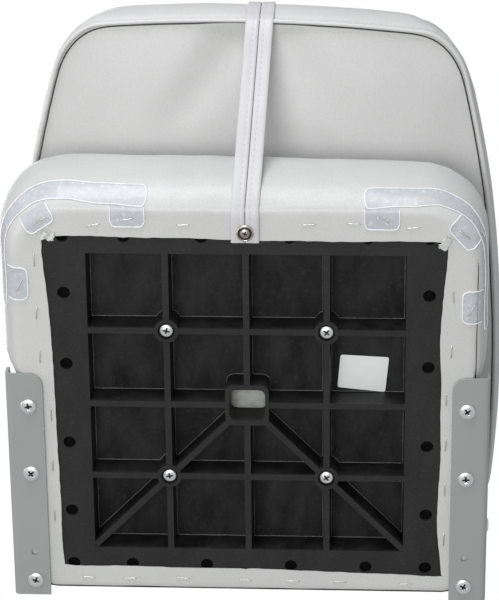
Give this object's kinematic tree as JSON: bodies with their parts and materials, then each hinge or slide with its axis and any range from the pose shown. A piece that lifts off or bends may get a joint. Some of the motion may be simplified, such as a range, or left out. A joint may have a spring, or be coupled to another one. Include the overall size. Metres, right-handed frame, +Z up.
{
  "type": "folding boat seat",
  "caption": "Low-back folding boat seat, stored folded: padded vinyl seat on a ribbed plastic pan, padded backrest on side hinge brackets, hold-down strap.",
  "frame": {"origin": "bottom centre of the folded seat's bounding box, on the floor under the pan", "axes": "+Z up, +Y towards the hinge side (the seat's rear), +X to the sitter's left as they face -Y"},
  "size_m": [0.42, 0.4722, 0.1602],
  "materials": {
    "vinyl": "light grey vinyl with a fine grain",
    "foam": "open foam, matt",
    "black_plastic": "black, lightly mottled, moulded",
    "board": "plain board",
    "clear_plastic": "clear, slightly milky film",
    "steel": "bright plated steel",
    "grey_paint": "mid grey satin paint"
  },
  "bodies": {
    "seat": {"seat_pan": "black_plastic", "seat_foam": "foam", "seat_cover": "vinyl", "seat_bracket_left": "grey_paint", "seat_bracket_right": "grey_paint", "seat_bracket_screw_left_1": "steel", "seat_bracket_screw_left_2": "steel", "seat_bracket_screw_left_3": "steel", "seat_bracket_screw_right_1": "steel", "seat_bracket_screw_right_2": "steel", "seat_bracket_screw_right_3": "steel", "mounting_screw_front_left": "steel", "mounting_screw_front_right": "steel", "mounting_screw_rear_left": "steel", "mounting_screw_rear_right": "steel", "strap_screw": "steel", "strap_washer": "steel", "pivot_rivet_left": "steel", "pivot_rivet_right": "steel", "pivot_washer_left": "steel", "pivot_washer_right": "steel", "corner_guard_left": "clear_plastic", "corner_guard_right": "clear_plastic"},
    "backrest": {"back_frame": "board", "back_foam": "foam", "back_cover": "vinyl", "back_panel": "vinyl", "back_piping": "vinyl", "back_bracket_left": "grey_paint", "back_bracket_right": "grey_paint", "back_bracket_screw_left_1": "steel", "back_bracket_screw_left_2": "steel", "back_bracket_screw_left_3": "steel", "back_bracket_screw_right_1": "steel", "back_bracket_screw_right_2": "steel", "back_bracket_screw_right_3": "steel", "strap_anchor_screw": "steel", "strap_anchor_washer": "steel", "hold_down_strap": "vinyl"}
  },
  "joints": [
    {"name": "back_fold", "type": "hinge", "parent": "seat", "child": "backrest", "pos_m": [0, 0.19556, 0.062], "axis": [-1, 0, 0], "range_deg": [0, 96], "deforming": ["hold_down_strap"]}
  ]
}
